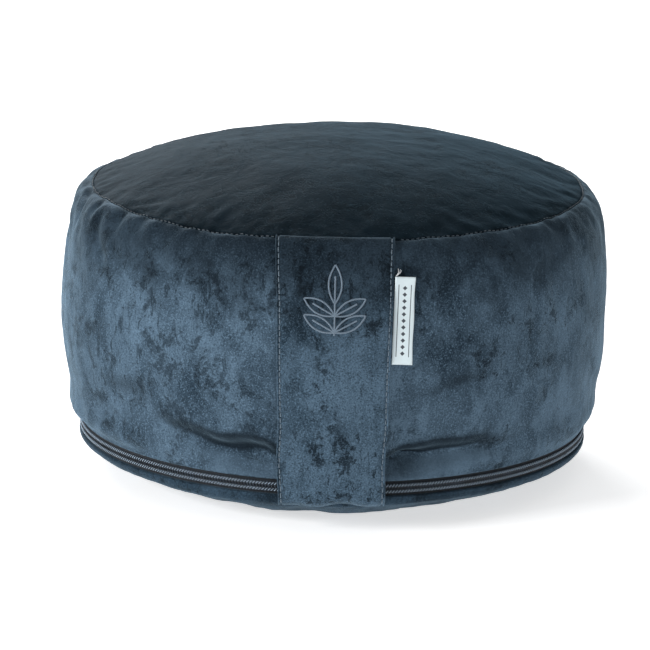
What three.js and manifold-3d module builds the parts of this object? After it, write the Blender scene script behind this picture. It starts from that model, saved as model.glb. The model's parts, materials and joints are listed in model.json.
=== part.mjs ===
// A round floor cushion for sitting on: a velvet cover with a domed top panel, one tall side
// panel and a flat bottom panel, an inner bag full of buckwheat hulls, an exposed coil zip round
// the bottom edge, and a wide carrying strap sewn down the front with a label in its edge.
//
// Millimetres, +Z up. The origin is the centre of the flat base, on the cushion's own axis. The
// strap is at the front, towards -Y. Angles round the cushion start at the strap and grow
// towards +X.

import * as THREE from 'three';
import { mergeVertices } from 'three/addons/utils/BufferGeometryUtils.js';
import Module from 'manifold-3d';

const wasm = await Module();
wasm.setup();

// ---------------------------------------------------------------- cushion body
// Seam heights are measured down from the crown and seam radii in from the bulge, so a taller or
// wider cushion keeps its shape at the seams.
const CROWN_HEIGHT = 200;
const CROWN_RISE = 28;
const BULGE_DROP = 69;
const BULGE_RADIUS = 165;
const TOP_SEAM_INSET = 19;
const ZIP_INSET = 11;
const BASE_TURN_WIDTH = 42;
const CROWN_FULLNESS = 2.5;
const SIDE_FULLNESS = 2.2;
const BASE_SLOPE = 1.6;
const TOP_SEAM_HEIGHT = CROWN_HEIGHT - CROWN_RISE;
const TOP_SEAM_RADIUS = BULGE_RADIUS - TOP_SEAM_INSET;
const BULGE_HEIGHT = TOP_SEAM_HEIGHT - BULGE_DROP;
const ZIP_RADIUS = BULGE_RADIUS - ZIP_INSET;
const BASE_RADIUS = ZIP_RADIUS - BASE_TURN_WIDTH;

// ---------------------------------------------------------------- layers
const COVER_THICKNESS = 2;
const BAG_THICKNESS = 0.6;
const TOUCH_GAP = 0.3;

// ---------------------------------------------------------------- zip
const ZIP_HEIGHT = 25;
const ZIP_BAND_ABOVE = 4;
const ZIP_BAND_BELOW = 1.5;
const ZIP_END_ANGLE = 110;
const TAPE_WIDTH = 8.5;
const TAPE_THICKNESS = 0.6;
const COIL_WIDTH = 2.85;
const COIL_THICKNESS = 1.6;
const STOP_LENGTH = 2.4;
const STOP_THICKNESS = 2.2;
// The cover keeps its upright band down past the tape's lower edge, then turns under.
const BASE_TURN_HEIGHT = ZIP_HEIGHT - TAPE_WIDTH - ZIP_BAND_BELOW;

// ---------------------------------------------------------------- zip slider and pull
const SLIDER_LENGTH = 12;
const SLIDER_WALL = 1.05;
const SLIDER_PLATE = 1.1;
const RUNNING_GAP = 0.4;
const BAIL_LENGTH = 7;
const BAIL_WIDTH = 2;
const BAIL_BAR = 1;
const PULL_LENGTH = 22;
const PULL_WIDTH = 7;
const PULL_THICKNESS = 1;
const PULL_WINDOW_LENGTH = 4.6;
const PULL_WINDOW_WIDTH = 3.4;

// ---------------------------------------------------------------- strap and label
const STRAP_TOP_WIDTH = 69;
const STRAP_BOTTOM_WIDTH = 62;
const STRAP_THICKNESS = 2.4;
const STRAP_FOOT_DROP = 6.5;
const STRAP_TURN_DROP = 1.5;
const STRAP_OVER_PULL = 4;
const STITCH_INSET = 2.2;
const STITCH_WIDTH = 1;
const THREAD_THICKNESS = 0.5;
const MOTIF_DROP = 31.5;
const MOTIF_SIZE = 39;
const MOTIF_LINE = 1.1;
const LEAF_LENGTH = 21;
const LEAF_WIDTH = 7.6;
const LEAF_SPREAD = 62;
const LABEL_WIDTH = 11.4;
const LABEL_HEIGHT = 51;
const LABEL_THICKNESS = 0.5;
const LABEL_DROP = 68;
const LABEL_STAND_OFF = 0.5;

// ---------------------------------------------------------------- fineness of the round forms
const BODY_STEPS = 48;
const INNER_STEPS = 24;
const ZIP_STEPS = 96;
const LEAF_STEPS = 5;
const BEYOND = 40;

// Worked out from the values above.
const coverInner = ZIP_RADIUS - COVER_THICKNESS;
const tapeOuter = coverInner - TOUCH_GAP;
const tapeInner = tapeOuter - TAPE_THICKNESS;
const bagOffset = COVER_THICKNESS + 2 * TOUCH_GAP + TAPE_THICKNESS;
const fillOffset = bagOffset + BAG_THICKNESS + TOUCH_GAP;
const coilInner = tapeOuter + TOUCH_GAP;
const coilOuter = coilInner + COIL_THICKNESS;
const coilNear = TOUCH_GAP / 2;
const coilFar = coilNear + COIL_WIDTH;
const sliderHalf = coilFar + RUNNING_GAP + SLIDER_WALL;
const channelHalf = sliderHalf + RUNNING_GAP;
const plateInner = coilOuter + RUNNING_GAP;
const plateOuter = plateInner + SLIDER_PLATE;
const pinClear = PULL_THICKNESS / 2 + RUNNING_GAP + SLIDER_WALL / 8;
const pinRadius = plateOuter + pinClear;
const bailOuter = pinRadius + pinClear + BAIL_BAR;
const sideBottom = ZIP_HEIGHT - channelHalf + TOUCH_GAP;

// ---------------------------------------------------------------- angles round the zip
const degreesOf = (length) => THREE.MathUtils.radToDeg(length / ZIP_RADIUS);
const stopOuterAngle = ZIP_END_ANGLE - degreesOf(STOP_LENGTH);
const stopInnerAngle = stopOuterAngle - degreesOf(STOP_LENGTH);
const coilEndAngle = stopInnerAngle - degreesOf(TOUCH_GAP);
const sliderRestAngle = -(stopInnerAngle - degreesOf(RUNNING_GAP + SLIDER_LENGTH / 2));

// ---------------------------------------------------------------- solids
function solidFrom(geometry) {
  const bare = geometry.clone();
  bare.deleteAttribute('normal');
  bare.deleteAttribute('uv');
  const merged = mergeVertices(bare, 1e-4);
  const corners = merged.index.array;
  const kept = [];
  for (let i = 0; i < corners.length; i += 3) {
    const [a, b, c] = corners.slice(i, i + 3);
    if (a !== b && b !== c && c !== a) kept.push(a, b, c);
  }
  const triVerts = Uint32Array.from(signedVolume(merged, kept) < 0 ? kept.reverse() : kept);
  const vertProperties = Float32Array.from(merged.attributes.position.array);
  return new wasm.Manifold(new wasm.Mesh({ numProp: 3, vertProperties, triVerts }));
}

function signedVolume(geometry, corners) {
  const at = (i) => new THREE.Vector3().fromBufferAttribute(geometry.attributes.position, i);
  let sum = 0;
  for (let i = 0; i < corners.length; i += 3) {
    sum += at(corners[i]).dot(at(corners[i + 1]).cross(at(corners[i + 2])));
  }
  return sum / 6;
}

function geometryFrom(solid) {
  const mesh = solid.getMesh();
  const geometry = new THREE.BufferGeometry();
  geometry.setAttribute('position', new THREE.BufferAttribute(mesh.vertProperties, 3));
  geometry.setIndex(new THREE.BufferAttribute(mesh.triVerts, 1));
  geometry.computeVertexNormals();
  return geometry;
}

// A closed ring or cap: the profile is a list of [radius, height] pairs.
function turned(profile, steps = BODY_STEPS) {
  const onAxis = profile[0][0] === 0;
  const loop = onAxis ? profile : [...profile, profile[0]];
  const points = loop.map(([r, z]) => new THREE.Vector2(r, z));
  const geometry = new THREE.LatheGeometry(points, steps);
  geometry.rotateX(Math.PI / 2);
  return solidFrom(geometry);
}

function prism(shape, depth, curveSegments = 10) {
  return new THREE.ExtrudeGeometry(shape, { depth, bevelEnabled: false, curveSegments });
}

function block(x, y, z, at) {
  const geometry = new THREE.BoxGeometry(x, y, z);
  geometry.translate(...at);
  return solidFrom(geometry);
}

const around = (angle, radius) => {
  const turn = THREE.MathUtils.degToRad(angle);
  return new THREE.Vector2(radius * Math.sin(turn), -radius * Math.cos(turn));
};

// An upright wedge over all heights, from one angle to another.
function sector(from, to) {
  const reach = 2 * Math.max(BULGE_RADIUS, ZIP_RADIUS, TOP_SEAM_RADIUS);
  const parts = Math.ceil((to - from) / 20);
  const rim = Array.from({ length: parts + 1 }, (_, i) => around(from + ((to - from) * i) / parts, reach));
  const geometry = prism(new THREE.Shape([new THREE.Vector2(0, 0), ...rim]), CROWN_HEIGHT + BEYOND);
  geometry.translate(0, 0, -BEYOND / 2);
  return solidFrom(geometry);
}

// A rectangle in radius and height, turned round and cut to a stretch of the circle.
function arcBar(inner, outer, low, high, from, to, steps = ZIP_STEPS) {
  const ring = turned([[inner, low], [outer, low], [outer, high], [inner, high]], steps);
  return ring.intersect(sector(from, to));
}

// ---------------------------------------------------------------- the cushion's outline
// Each part of the outline runs from the crown, out and down, to the centre of the base.
function crownPath() {
  const rise = CROWN_HEIGHT - TOP_SEAM_HEIGHT;
  const shares = [0, 0.3, 0.55, 0.75, 0.9, 1];
  return shares.map((t) => [TOP_SEAM_RADIUS * t, TOP_SEAM_HEIGHT + rise * (1 - t ** CROWN_FULLNESS)]);
}

function shoulderPath() {
  const out = BULGE_RADIUS - TOP_SEAM_RADIUS;
  const up = TOP_SEAM_HEIGHT - BULGE_HEIGHT;
  const turns = [0, 14, 30, 48, 68, 90].map(THREE.MathUtils.degToRad);
  return turns.map((a) => [TOP_SEAM_RADIUS + out * Math.sin(a), BULGE_HEIGHT + up * Math.cos(a)]);
}

function lowerSidePath() {
  const bandTop = ZIP_HEIGHT + channelHalf + ZIP_BAND_ABOVE;
  const drop = BULGE_HEIGHT - bandTop;
  const curve = [0.35, 0.6, 0.8, 1].map((t) => [
    BULGE_RADIUS + (ZIP_RADIUS - BULGE_RADIUS) * t ** SIDE_FULLNESS,
    BULGE_HEIGHT - drop * t,
  ]);
  return [...curve, [ZIP_RADIUS, sideBottom]];
}

// The base turns under on a slope; BASE_SLOPE is 1 for a round turn and 2 for a straight one.
function bottomPath() {
  const top = ZIP_HEIGHT - channelHalf;
  const turns = [0, 22.5, 45, 67.5, 90].map(THREE.MathUtils.degToRad);
  const curve = turns.map((a) => [
    BASE_RADIUS + (ZIP_RADIUS - BASE_RADIUS) * Math.cos(a) ** BASE_SLOPE,
    BASE_TURN_HEIGHT * (1 - Math.sin(a) ** BASE_SLOPE),
  ]);
  return [[ZIP_RADIUS, top], ...curve, [0, 0]];
}

const sidePath = () => [...shoulderPath(), ...lowerSidePath()];

// The same path moved inwards by a distance, with its corners mitred.
function inset(path, distance) {
  const normals = path.slice(1).map(([r, z], i) => {
    const [dr, dz] = [r - path[i][0], z - path[i][1]];
    const length = Math.hypot(dr, dz);
    return [dz / length, -dr / length];
  });
  return path.map(([r, z], i) => {
    const before = normals[Math.max(i - 1, 0)];
    const after = normals[Math.min(i, normals.length - 1)];
    const share = distance / (1 + before[0] * after[0] + before[1] * after[1]);
    const moved = r + (before[0] + after[0]) * share;
    return [r === 0 ? 0 : moved, z + (before[1] + after[1]) * share];
  });
}

// A skin between two depths under the outline.
function skin(path, outer, inner, steps = BODY_STEPS) {
  return turned([...inset(path, outer), ...inset(path, inner).reverse()], steps);
}

// A path without the last stretch before the next panel's edge, so that sewn edges don't touch.
function shortened(path, distance) {
  const [[r0, z0], [r1, z1]] = path.slice(-2);
  const share = 1 - distance / Math.hypot(r1 - r0, z1 - z0);
  return [...path.slice(0, -1), [r0 + (r1 - r0) * share, z0 + (z1 - z0) * share]];
}

// ---------------------------------------------------------------- cover
const coverTopPanel = () => skin(shortened(crownPath(), TOUCH_GAP), 0, COVER_THICKNESS);

function coverSidePanel() {
  const whole = skin(sidePath(), 0, COVER_THICKNESS);
  const channelTop = ZIP_HEIGHT + channelHalf;
  const channel = arcBar(
    ZIP_RADIUS - BEYOND, ZIP_RADIUS + BEYOND, -BEYOND, channelTop, -ZIP_END_ANGLE, ZIP_END_ANGLE,
  );
  return whole.subtract(channel);
}

const coverBottomPanel = () => skin(bottomPath(), 0, COVER_THICKNESS);

// ---------------------------------------------------------------- inner bag and filling
const bagPanel = (path) => skin(path, bagOffset, bagOffset + BAG_THICKNESS, INNER_STEPS);
const bagTop = () => bagPanel(shortened(crownPath(), TOUCH_GAP));
const bagSide = () => bagPanel(sidePath());
const bagBottom = () => bagPanel(bottomPath());

function hullFill() {
  const top = inset(crownPath(), fillOffset).slice(0, -1);
  const side = inset(sidePath(), fillOffset);
  const bottom = inset(bottomPath(), fillOffset).slice(1);
  return turned([...top, ...side, ...bottom], INNER_STEPS);
}

// ---------------------------------------------------------------- zip chain
// side is +1 for the half sewn to the side panel and -1 for the half sewn to the bottom panel.
const band = (side, near, far) => {
  const edges = [ZIP_HEIGHT + side * near, ZIP_HEIGHT + side * far];
  return [Math.min(...edges), Math.max(...edges)];
};

const zipTape = (side) => arcBar(
  tapeInner, tapeOuter, ...band(side, coilNear, coilNear + TAPE_WIDTH),
  -ZIP_END_ANGLE, ZIP_END_ANGLE, BODY_STEPS,
);

const zipCoil = (side) => arcBar(
  coilInner, coilOuter, ...band(side, coilNear, coilFar), -coilEndAngle, coilEndAngle,
);

const zipTopStop = (side) => arcBar(
  coilInner, coilInner + STOP_THICKNESS, ...band(side, coilNear, coilFar), -stopOuterAngle, -stopInnerAngle,
);

const zipBottomStop = () => arcBar(
  coilInner, coilInner + STOP_THICKNESS, ZIP_HEIGHT - coilFar, ZIP_HEIGHT + coilFar,
  stopInnerAngle, stopOuterAngle,
);

// ---------------------------------------------------------------- slider and pull
// Both are made at the front and turned round to the closed end of the zip by their group.
function zipSlider() {
  const half = degreesOf(SLIDER_LENGTH / 2);
  const shell = arcBar(coilInner, plateOuter, ZIP_HEIGHT - sliderHalf, ZIP_HEIGHT + sliderHalf, -half, half);
  const inside = sliderHalf - SLIDER_WALL;
  const channel = arcBar(
    coilInner - BEYOND, plateInner, ZIP_HEIGHT - inside, ZIP_HEIGHT + inside, -2 * half, 2 * half,
  );
  return shell.subtract(channel).add(bail());
}

function bail() {
  const foot = plateOuter - SLIDER_PLATE / 2;
  const middle = (foot + bailOuter) / 2;
  const arch = block(BAIL_LENGTH, bailOuter - foot, BAIL_WIDTH, [0, -middle, ZIP_HEIGHT]);
  const opening = bailOuter - BAIL_BAR - plateOuter;
  const span = BAIL_LENGTH - 2 * BAIL_BAR;
  const at = [0, -(plateOuter + opening / 2), ZIP_HEIGHT];
  return arch.subtract(block(span, opening, 2 * BAIL_WIDTH, at));
}

// The pull is drawn flat with its pin across the origin, and lies along +X.
function zipPull() {
  const pinBack = -PULL_THICKNESS / 2;
  const tipRadius = PULL_WIDTH / 2;
  const outline = new THREE.Shape();
  outline.moveTo(pinBack, -PULL_WIDTH / 2);
  outline.lineTo(PULL_LENGTH - tipRadius, -PULL_WIDTH / 2);
  outline.absarc(PULL_LENGTH - tipRadius, 0, tipRadius, -Math.PI / 2, Math.PI / 2, false);
  outline.lineTo(pinBack, PULL_WIDTH / 2);
  const window = new THREE.Path();
  const start = PULL_THICKNESS / 2;
  window.moveTo(start, -PULL_WINDOW_WIDTH / 2);
  window.lineTo(start, PULL_WINDOW_WIDTH / 2);
  window.lineTo(start + PULL_WINDOW_LENGTH, PULL_WINDOW_WIDTH / 2);
  window.lineTo(start + PULL_WINDOW_LENGTH, -PULL_WINDOW_WIDTH / 2);
  outline.holes.push(window);
  const geometry = prism(outline, PULL_THICKNESS);
  geometry.translate(0, 0, -PULL_THICKNESS / 2);
  geometry.rotateX(Math.PI / 2);
  return solidFrom(geometry);
}

// ---------------------------------------------------------------- strap
// The strap lies on the shoulder, hangs straight from the bulge past the zip, and turns in to
// the bottom panel. Its foot is measured down from the zip.
const strapFootHeight = ZIP_HEIGHT - STRAP_FOOT_DROP;
const strapTurnHeight = ZIP_HEIGHT - STRAP_TURN_DROP;
const strapHang = Math.max(BULGE_RADIUS + TOUCH_GAP, bailOuter + STRAP_OVER_PULL);

function strapPath() {
  const shoulder = inset(shoulderPath(), -TOUCH_GAP).slice(0, -1);
  const footRadius = ZIP_RADIUS + 2 * TOUCH_GAP;
  return [
    ...shoulder,
    [BULGE_RADIUS + TOUCH_GAP, BULGE_HEIGHT],
    [strapHang, strapTurnHeight],
    [footRadius, strapFootHeight],
  ];
}

// A layer over the strap's inner face, between two distances out from it.
const strapLayer = (near, far) => skin(strapPath(), -far, -near);

const strapHalfWidth = (height) => {
  const share = (height - strapFootHeight) / (TOP_SEAM_HEIGHT - strapFootHeight);
  return (STRAP_BOTTOM_WIDTH + (STRAP_TOP_WIDTH - STRAP_BOTTOM_WIDTH) * share) / 2;
};

// An upright slab across the front, from one edge line to another; each edge is given by a
// function of height.
function frontSlab(leftEdge, rightEdge) {
  const heights = [-BEYOND, CROWN_HEIGHT + BEYOND];
  const corners = [
    [leftEdge(heights[0]), heights[0]],
    [rightEdge(heights[0]), heights[0]],
    [rightEdge(heights[1]), heights[1]],
    [leftEdge(heights[1]), heights[1]],
  ];
  const shape = new THREE.Shape(corners.map(([x, z]) => new THREE.Vector2(x, z)));
  return solidFrom(frontward(prism(shape, 2 * strapHang)));
}

// Turns a prism drawn in X and Y to stand in X and Z and to reach from the middle towards -Y.
function frontward(geometry) {
  geometry.rotateX(Math.PI / 2);
  return geometry;
}

function handleStrap() {
  const slab = frontSlab((z) => -strapHalfWidth(z), strapHalfWidth);
  return strapLayer(0, STRAP_THICKNESS).intersect(slab);
}

function handleStitching(side) {
  const edges = [STITCH_INSET, STITCH_INSET + STITCH_WIDTH].map((d) => (z) => side * (strapHalfWidth(z) - d));
  const [left, right] = side > 0 ? [edges[1], edges[0]] : edges;
  const near = STRAP_THICKNESS + TOUCH_GAP;
  return strapLayer(near, near + THREAD_THICKNESS).intersect(frontSlab(left, right));
}

// ---------------------------------------------------------------- embroidery
// A plain sprig: a stem with a leaf at its tip and pairs of leaves down its sides, in outline.
function leafOutline(length, width) {
  const leaf = new THREE.Shape();
  leaf.moveTo(0, 0);
  leaf.quadraticCurveTo(width, length / 2, 0, length);
  leaf.quadraticCurveTo(-width, length / 2, 0, 0);
  return leaf;
}

function leaf(at, turn) {
  const outline = leafOutline(LEAF_LENGTH, LEAF_WIDTH);
  const hole = leafOutline(LEAF_LENGTH - 3 * MOTIF_LINE, LEAF_WIDTH - 1.6 * MOTIF_LINE);
  const lifted = hole.getPoints(LEAF_STEPS).map((p) => new THREE.Vector2(p.x, p.y + 1.5 * MOTIF_LINE));
  outline.holes.push(new THREE.Path(lifted.slice(0, -1)));
  const geometry = prism(outline, 2 * strapHang, LEAF_STEPS);
  geometry.rotateZ(THREE.MathUtils.degToRad(turn));
  geometry.translate(at[0], at[1], 0);
  return solidFrom(frontward(geometry));
}

function handleEmbroidery() {
  const foot = TOP_SEAM_HEIGHT - MOTIF_DROP - MOTIF_SIZE / 2;
  const stemTop = foot + MOTIF_SIZE - LEAF_LENGTH + MOTIF_LINE;
  const stem = block(MOTIF_LINE, 2 * strapHang, stemTop - foot, [0, -strapHang, (foot + stemTop) / 2]);
  const pairs = [0.1, 0.62].map((share) => foot + (stemTop - foot) * share);
  let sprig = stem.add(leaf([0, stemTop - MOTIF_LINE], 0));
  for (const height of pairs) {
    for (const turn of [-LEAF_SPREAD, LEAF_SPREAD]) sprig = sprig.add(leaf([0, height], turn));
  }
  const near = STRAP_THICKNESS + TOUCH_GAP;
  return strapLayer(near, near + THREAD_THICKNESS).intersect(sprig);
}

// ---------------------------------------------------------------- label
// The label stands on a straight line along the strap's right edge, clear of the shoulder.
function labelFrame() {
  const low = TOP_SEAM_HEIGHT - LABEL_DROP;
  const high = low + LABEL_HEIGHT;
  const shoulder = shoulderPath();
  const [lowRadius, highRadius] = [low, high].map((z) => radiusAt(shoulder, z));
  const chord = (z) => lowRadius + ((highRadius - lowRadius) * (z - low)) / LABEL_HEIGHT;
  const between = shoulder.filter(([, z]) => z > low && z < high);
  const proud = Math.max(0, ...between.map(([r, z]) => r - chord(z)));
  const clear = proud + LABEL_STAND_OFF + LABEL_THICKNESS;
  const onEdge = (z) => {
    const x = strapHalfWidth(z) + TOUCH_GAP + LABEL_THICKNESS / 2;
    return new THREE.Vector3(x, -Math.sqrt((chord(z) + clear) ** 2 - x ** 2), z);
  };
  const position = onEdge(low);
  const along = onEdge(high).sub(position).normalize();
  const across = along.clone().cross(position.clone().setZ(0)).normalize();
  return { position, along, across, outward: across.clone().cross(along) };
}

function radiusAt(path, height) {
  for (let i = 1; i < path.length; i += 1) {
    const [[r0, z0], [r1, z1]] = [path[i - 1], path[i]];
    if (height <= z0 && height >= z1) return r0 + ((r1 - r0) * (height - z0)) / (z1 - z0);
  }
  return path[path.length - 1][0];
}

function sideLabel() {
  const geometry = new THREE.BoxGeometry(LABEL_WIDTH, LABEL_HEIGHT, LABEL_THICKNESS);
  geometry.translate(LABEL_WIDTH / 2, LABEL_HEIGHT / 2, 0);
  return solidFrom(geometry);
}

// ---------------------------------------------------------------- materials
function material(color, roughness, metalness = 0) {
  return new THREE.MeshStandardMaterial({ color, roughness, metalness });
}

const topVelvet = () => material(0x23323d, 0.85);
const sideVelvet = () => material(0x3c5061, 0.8);
const bottomVelvet = () => material(0x33465a, 0.85);
const zipWeave = () => material(0x2b3947, 0.9);
const zipNylon = () => material(0x8f9eae, 0.45);
const zipMetal = () => material(0x8a8f96, 0.35, 0.9);
const paleThread = () => material(0x7d93a6, 0.7);
const satin = () => material(0xe6e8ea, 0.45);
const cotton = () => material(0xd9d3c5, 0.9);
const hulls = () => material(0x4a3b2c, 0.95);

// ---------------------------------------------------------------- the assembly
function piece(name, solid, look) {
  const mesh = new THREE.Mesh(geometryFrom(solid), look);
  mesh.name = name;
  return mesh;
}

function cover() {
  const group = new THREE.Group();
  group.add(piece('cover_top_panel', coverTopPanel(), topVelvet()));
  group.add(piece('cover_side_panel', coverSidePanel(), sideVelvet()));
  group.add(piece('cover_bottom_panel', coverBottomPanel(), bottomVelvet()));
  return group;
}

function innerCushion() {
  const group = new THREE.Group();
  group.add(piece('inner_bag_top', bagTop(), cotton()));
  group.add(piece('inner_bag_side', bagSide(), cotton()));
  group.add(piece('inner_bag_bottom', bagBottom(), cotton()));
  group.add(piece('hull_fill', hullFill(), hulls()));
  return group;
}

function zipChain() {
  const group = new THREE.Group();
  for (const [where, side] of [['upper', 1], ['lower', -1]]) {
    group.add(piece(`zip_tape_${where}`, zipTape(side), zipWeave()));
    group.add(piece(`zip_coil_${where}`, zipCoil(side), zipNylon()));
    group.add(piece(`zip_top_stop_${where}`, zipTopStop(side), zipMetal()));
  }
  group.add(piece('zip_bottom_stop', zipBottomStop(), zipMetal()));
  return group;
}

function zipRunner() {
  const group = new THREE.Group();
  group.rotation.z = THREE.MathUtils.degToRad(sliderRestAngle);
  group.add(piece('zip_slider', zipSlider(), zipMetal()));
  const pull = piece('zip_pull', zipPull(), zipMetal());
  pull.position.set(0, -pinRadius, ZIP_HEIGHT);
  group.add(pull);
  return group;
}

function handle() {
  const group = new THREE.Group();
  group.add(piece('handle_strap', handleStrap(), sideVelvet()));
  group.add(piece('handle_stitching_left', handleStitching(-1), paleThread()));
  group.add(piece('handle_stitching_right', handleStitching(1), paleThread()));
  group.add(piece('handle_embroidery', handleEmbroidery(), paleThread()));
  const label = piece('side_label', sideLabel(), satin());
  const { position, along, across, outward } = labelFrame();
  label.position.copy(position);
  label.quaternion.setFromRotationMatrix(new THREE.Matrix4().makeBasis(across, along, outward));
  group.add(label);
  return group;
}

const cushion = new THREE.Group();
cushion.name = 'floor_cushion';
cushion.add(cover(), innerCushion(), zipChain(), zipRunner(), handle());

export default cushion;
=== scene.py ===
"""A round velvet floor cushion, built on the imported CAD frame. Metres, +Z up, front towards -Y.

The cover, the bag and the filling follow one outline turned round the cushion's axis, moved by
one field of puckers, lumps and folds, so that no layer pokes through another. Angles round the
cushion start at the front, where the strap is, and grow towards +X.
"""
import json
import math

import bmesh
import bpy
import numpy as np
from mathutils import Matrix, Vector


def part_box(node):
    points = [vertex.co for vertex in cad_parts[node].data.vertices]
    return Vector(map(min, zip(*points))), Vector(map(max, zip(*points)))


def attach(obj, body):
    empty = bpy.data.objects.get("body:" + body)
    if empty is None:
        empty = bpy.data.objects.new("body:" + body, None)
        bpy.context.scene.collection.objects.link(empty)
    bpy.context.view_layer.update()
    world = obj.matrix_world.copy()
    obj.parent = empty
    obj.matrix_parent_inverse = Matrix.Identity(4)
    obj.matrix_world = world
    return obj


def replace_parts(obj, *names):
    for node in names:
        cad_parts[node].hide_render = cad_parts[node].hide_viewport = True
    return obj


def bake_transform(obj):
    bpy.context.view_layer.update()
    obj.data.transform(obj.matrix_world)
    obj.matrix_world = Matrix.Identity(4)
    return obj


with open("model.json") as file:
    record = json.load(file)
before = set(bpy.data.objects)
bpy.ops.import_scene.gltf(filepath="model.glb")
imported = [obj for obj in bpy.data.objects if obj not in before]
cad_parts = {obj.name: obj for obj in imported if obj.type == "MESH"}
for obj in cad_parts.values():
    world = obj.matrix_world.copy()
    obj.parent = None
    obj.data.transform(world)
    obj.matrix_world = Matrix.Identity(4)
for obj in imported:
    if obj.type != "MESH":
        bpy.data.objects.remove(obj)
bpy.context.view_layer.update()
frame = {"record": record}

MM = 0.001

# ---- sizes read from the frame
_, side_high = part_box("cover_side_panel")
_, top_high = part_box("cover_top_panel")
_, base_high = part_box("cover_bottom_panel")
stop_low, stop_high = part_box("zip_bottom_stop")
_, strap_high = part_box("handle_strap")
motif_low, motif_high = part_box("handle_embroidery")

CROWN_Z = top_high.z
SEAM_Z = side_high.z
SEAM_R = top_high.x
BULGE_R = side_high.x
ZIP_R = base_high.x
ZIP_Z = (stop_low.z + stop_high.z) / 2
STRAP_EDGE = strap_high.x
MOTIF_FOOT = motif_low.z
MOTIF_TOP = motif_high.z

# ---- sizes of the outline
BULGE_Z = 103 * MM
BAND_TOP = 33.7 * MM
BASE_TURN_Z = 15 * MM
BASE_SLOPE = 1.6
BASE_R = 112 * MM
CROWN_FULLNESS = 2.5
SIDE_FULLNESS = 2.2
CHANNEL_HALF = 4.6 * MM
SHARES = 200
BAND_ROWS = 20
COLUMNS = 480
ZIP_END = math.radians(110)
ZIP_END_TURN = math.radians(0.8)


def on_circle(angle, radius, height):
    """Points at an angle from the front, in radians, a radius and a height."""
    angle, radius, height = np.broadcast_arrays(angle, radius, height)
    return np.stack([radius * np.sin(angle), -radius * np.cos(angle), height], -1)


def turn_from(angle, degrees):
    """How far an angle lies from a place given in degrees, from half a turn back to half on."""
    return (angle - math.radians(degrees) + math.pi) % (2 * math.pi) - math.pi


def smooth_step(value, low, high):
    """Rises smoothly from 0 at low to 1 at high."""
    share = np.clip((value - low) / (high - low), 0, 1)
    return share * share * (3 - 2 * share)


# ---- the outline
def outline():
    """The outline from the crown to the centre of the base: length, radius, height, outward normal."""
    share = np.linspace(0, 1, SHARES)
    quarter = share[1:] * math.pi / 2
    crown = np.stack([SEAM_R * share, SEAM_Z + (CROWN_Z - SEAM_Z) * (1 - share**CROWN_FULLNESS)], 1)
    shoulder = np.stack([
        SEAM_R + (BULGE_R - SEAM_R) * np.sin(quarter),
        BULGE_Z + (SEAM_Z - BULGE_Z) * np.cos(quarter),
    ], 1)
    lower = np.stack([
        BULGE_R + (ZIP_R - BULGE_R) * share[1:]**SIDE_FULLNESS,
        BULGE_Z - (BULGE_Z - BAND_TOP) * share[1:],
    ], 1)
    band = np.stack([np.full(BAND_ROWS - 1, ZIP_R), np.linspace(BAND_TOP, BASE_TURN_Z, BAND_ROWS)[1:]], 1)
    turn = np.stack([
        BASE_R + (ZIP_R - BASE_R) * np.clip(np.cos(quarter), 0, 1)**BASE_SLOPE,
        BASE_TURN_Z * (1 - np.sin(quarter)**BASE_SLOPE),
    ], 1)
    flat = np.stack([BASE_R * (1 - share[1:]), np.zeros(len(share) - 1)], 1)
    path = np.concatenate([crown, shoulder, lower, band, turn, flat])
    lengths = np.concatenate([[0], np.cumsum(np.linalg.norm(np.diff(path, axis=0), axis=1))])
    step = np.gradient(path, lengths, axis=0)
    step /= np.linalg.norm(step, axis=1)[:, None]
    normal = np.stack([-step[:, 1], step[:, 0]], 1)
    return lengths, path, normal


LENGTHS, PATH, NORMAL = outline()
SEAM_S = float(LENGTHS[SHARES - 1])
BASE_S = float(LENGTHS[-SHARES])
TOTAL_S = float(LENGTHS[-1])


def length_at(height):
    """The length along the outline at a height on the side."""
    side = (LENGTHS >= SEAM_S) & (LENGTHS <= BASE_S)
    return float(np.interp(-height, -PATH[side, 1], LENGTHS[side]))


ZIP_UPPER_S = length_at(ZIP_Z + CHANNEL_HALF)
ZIP_LOWER_S = length_at(ZIP_Z - CHANNEL_HALF)


def outline_at(length):
    """Radius, height and outward normal at lengths along the outline."""
    radius, height = (np.interp(length, LENGTHS, PATH[:, i]) for i in (0, 1))
    out, up = (np.interp(length, LENGTHS, NORMAL[:, i]) for i in (0, 1))
    size = np.maximum(np.hypot(out, up), 1e-9)
    return radius, height, out / size, up / size


# ---- uneven form
# Places where the stuffing pushes the whole form out, or the cover draws it in: middle (degrees
# from the front, height in mm), half-width (degrees, mm) and reach in mm.
SWELLS = [
    (84, 164, 34, 18, 3.0),
    (-82, 166, 30, 18, 1.5),
    (-68, 39, 36, 9, 4.2),
    (66, 39, 34, 9, 3.6),
    (176, 160, 60, 24, 4.0),
    (-5, 6, 30, 8, -3.5),
    (-64, 8, 24, 9, -7.5),
    (60, 8, 36, 9, -6.0),
    (140, 60, 40, 40, 3.0),
    (-130, 80, 40, 40, 2.5),
]


def swell(angle, height):
    """How far the form is pushed outwards from its axis."""
    total = 0
    for at, level, wide, tall, reach in SWELLS:
        across = turn_from(angle, at) / math.radians(wide)
        along = (height / MM - level) / tall
        total = total + reach * np.exp(-across**2 - along**2)
    free = smooth_step(np.abs(height - ZIP_Z), CHANNEL_HALF + 0.2 * MM, CHANNEL_HALF + 6 * MM)
    return total * MM * free


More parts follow.
